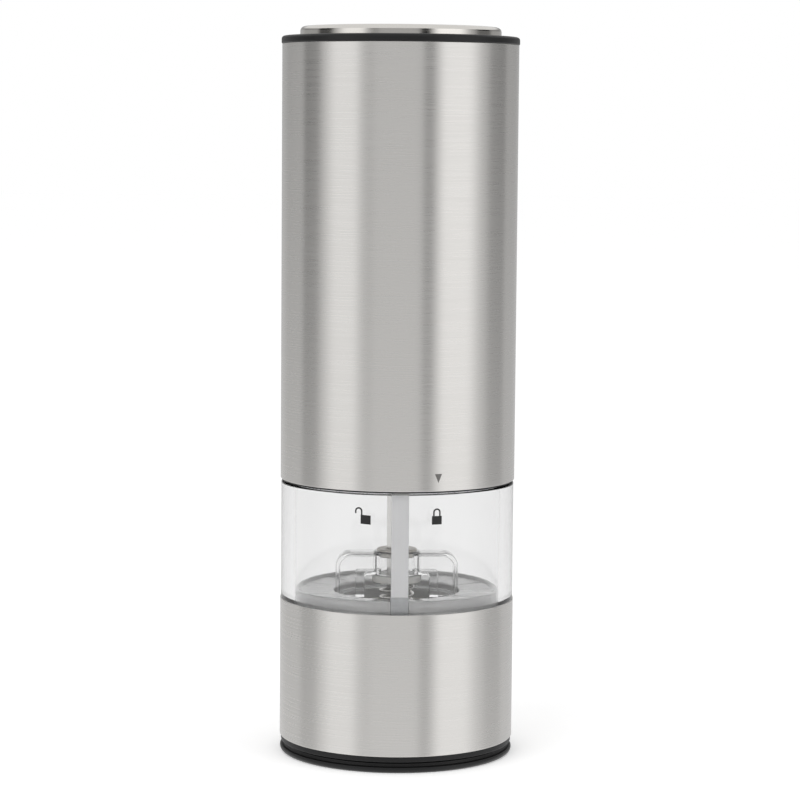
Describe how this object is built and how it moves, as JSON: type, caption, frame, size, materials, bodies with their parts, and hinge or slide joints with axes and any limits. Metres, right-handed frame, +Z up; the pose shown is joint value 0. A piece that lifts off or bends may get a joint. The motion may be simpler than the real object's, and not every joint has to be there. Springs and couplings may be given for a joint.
{
  "type": "electric spice grinder",
  "caption": "Tall cylindrical battery grinder: steel sleeves, clear spice chamber with twist lock, ceramic mill, push button on top, and a base cover to stand on.",
  "frame": {"origin": "centre of the face that the grinder stands on, under its base cover", "axes": "+Z up along the shaft, -Y to the front, where the light strip is, and +X to the right seen from the front"},
  "size_m": [0.0654, 0.0654, 0.2009],
  "materials": {
    "brushed_steel": "brushed round the tube, satin",
    "button_chrome": "bright plated, fine brush marks",
    "clear_acrylic": "clear, polished",
    "clear_styrene": "clear, moulded",
    "black_abs": "moulded, fine grain",
    "black_nylon": "moulded, smooth",
    "white_acetal": "moulded, smooth",
    "milky_polycarbonate": "translucent white",
    "grey_rubber": "smooth",
    "silicone": "smooth, translucent white",
    "white_ceramic": "unglazed",
    "sintered_bronze": "dull, porous",
    "contact_brass": "bright",
    "screw_steel": "zinc plated",
    "drawn_steel": "drawn, smooth",
    "spring_steel": "drawn wire",
    "nickel_plate": "nickel plated",
    "green_board": "solder mask",
    "lamp_epoxy": "clear, milky inside",
    "cell_wrap": "lacquered can with a plain wrap"
  },
  "bodies": {
    "base_cover": {"base_cover": "black_abs"},
    "mill_body": {"bottom_collar": "black_abs", "lower_sleeve": "brushed_steel", "spice_chamber": "clear_acrylic", "mill_housing": "clear_styrene", "shaft_bridge": "clear_styrene", "hub_bush": "sintered_bronze", "stator_burr": "white_ceramic", "stator_holder": "black_nylon", "holder_screws": "screw_steel", "light_strip": "milky_polycarbonate", "strip_boot": "grey_rubber", "strip_contact": "nickel_plate", "led_board": "green_board", "led_lamp": "lamp_epoxy"},
    "top_frame": {"bayonet_lid": "black_abs", "chamber_seal": "silicone", "lid_screws": "screw_steel", "contact_pins": "contact_brass", "motor_housing": "black_abs", "gearbox": "white_acetal", "motor_can": "drawn_steel", "motor_endcap": "black_nylon", "battery_holder": "black_abs", "holder_cap": "black_abs", "housing_screws": "screw_steel", "battery_cell_1": "cell_wrap", "battery_cell_2": "cell_wrap", "battery_cell_3": "cell_wrap", "battery_cell_4": "cell_wrap", "battery_springs": "spring_steel", "contact_plates": "nickel_plate", "switch_board": "green_board", "push_switch": "black_nylon"},
    "plunger": {"switch_plunger": "white_acetal"},
    "drive": {"output_coupling": "white_acetal", "drive_shaft": "drawn_steel", "spring_seat": "white_acetal", "mill_spring": "spring_steel"},
    "rotor": {"rotor_burr": "white_ceramic", "rotor_core": "black_nylon"},
    "knob": {"adjust_knob": "black_nylon"},
    "sleeve": {"upper_sleeve": "brushed_steel", "top_ring": "black_abs", "button_guide": "black_abs", "button_spring": "spring_steel"},
    "button": {"button_carrier": "black_nylon", "button_cap": "button_chrome"}
  },
  "joints": [
    {"name": "grinder_lift", "type": "slide", "parent": "base_cover", "child": "mill_body", "axis": [0, 0, 1], "range_m": [0, 0.015]},
    {"name": "twist_lock", "type": "hinge", "parent": "mill_body", "child": "top_frame", "pos_m": [0, 0, 0.08], "axis": [0, 0, 1], "range_deg": [-37, 0]},
    {"name": "sleeve_lift", "type": "slide", "parent": "top_frame", "child": "sleeve", "axis": [0, 0, 1], "range_m": [0, 0.125]},
    {"name": "button_press", "type": "slide", "parent": "sleeve", "child": "button", "axis": [0, 0, -1], "range_m": [0, 0.002], "stiffness_N_per_m": 300, "springref_m": -0.004, "deforming": ["button_spring"]},
    {"name": "plunger_press", "type": "slide", "parent": "top_frame", "child": "plunger", "axis": [0, 0, -1], "range_m": [0, 0.002]},
    {"name": "shaft_spin", "type": "hinge", "parent": "top_frame", "child": "drive", "pos_m": [0, 0, 0.08], "axis": [0, 0, 1], "continuous": true},
    {"name": "rotor_slide", "type": "slide", "parent": "drive", "child": "rotor", "axis": [0, 0, -1], "range_m": [0, 0.0007], "deforming": ["mill_spring"]},
    {"name": "knob_turn", "type": "hinge", "parent": "rotor", "child": "knob", "pos_m": [0, 0, 0.02], "axis": [0, 0, -1], "range_deg": [0, 360]}
  ],
  "couplings": [
    {"joint": "plunger_press", "follows": "button_press", "ratio": 1},
    {"joint": "knob_turn", "follows": "rotor_slide", "rad_per_m": 8976}
  ]
}
